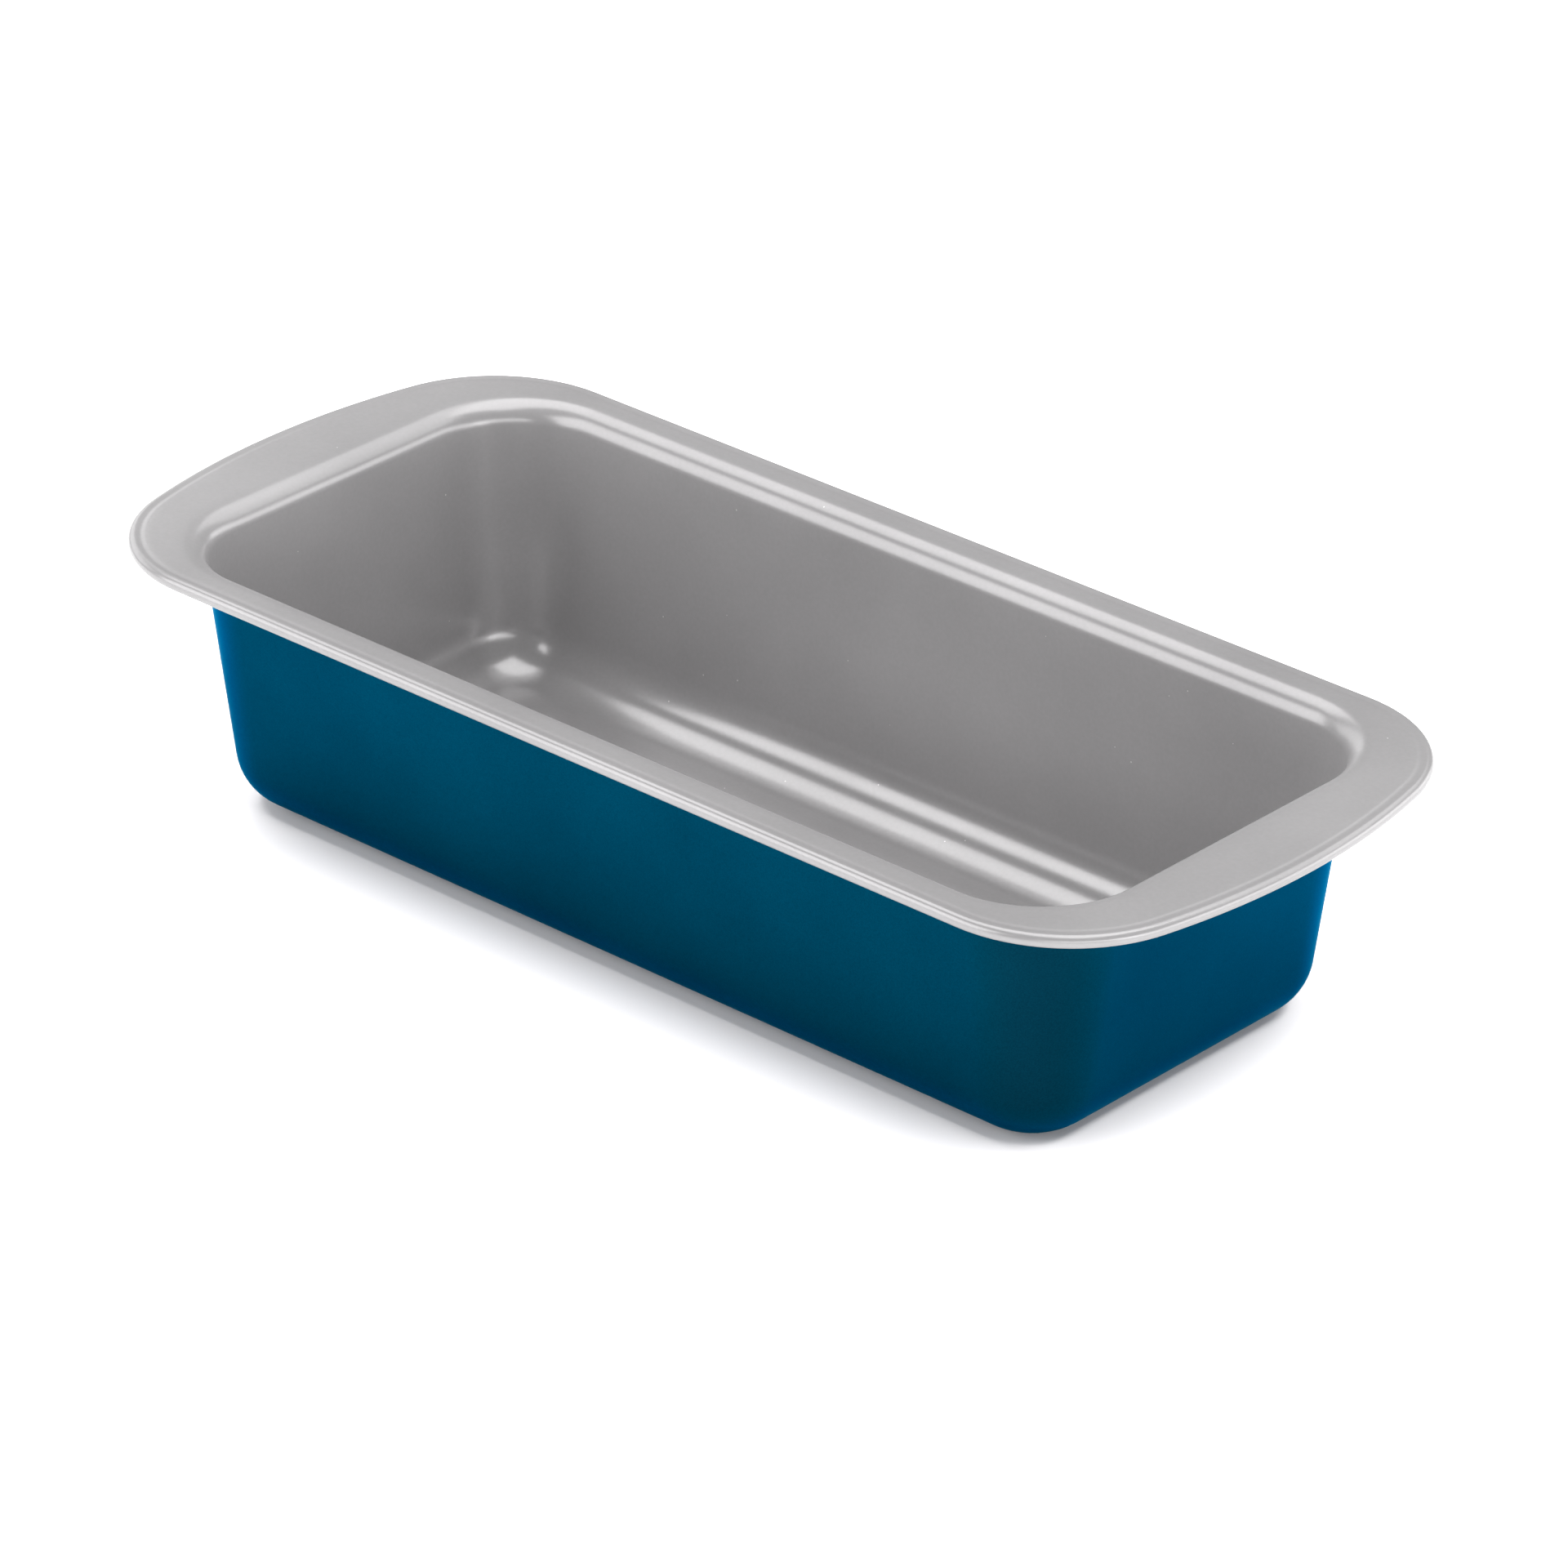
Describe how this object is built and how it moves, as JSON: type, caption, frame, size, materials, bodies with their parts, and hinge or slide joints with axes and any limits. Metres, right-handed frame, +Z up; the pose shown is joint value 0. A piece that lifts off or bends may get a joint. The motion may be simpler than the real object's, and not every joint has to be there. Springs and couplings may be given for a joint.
{
  "type": "loaf pan",
  "caption": "Loaf pan pressed from sheet steel, with leaning walls, a flange that widens into grips at its ends and a rolled edge, coated grey inside and blue outside.",
  "frame": {"origin": "middle of the base's underside, the face that the pan stands on", "axes": "+X along the pan towards one grip end, +Y across it, +Z up out of the mouth"},
  "size_m": [0.3, 0.1344, 0.0635],
  "materials": {
    "blue_enamel": "satin",
    "sheet_steel": "satin",
    "grey_nonstick": "satin"
  },
  "bodies": {
    "root": {"outer_enamel": "blue_enamel", "steel_shell": "sheet_steel", "nonstick_lining": "grey_nonstick"}
  },
  "joints": []
}
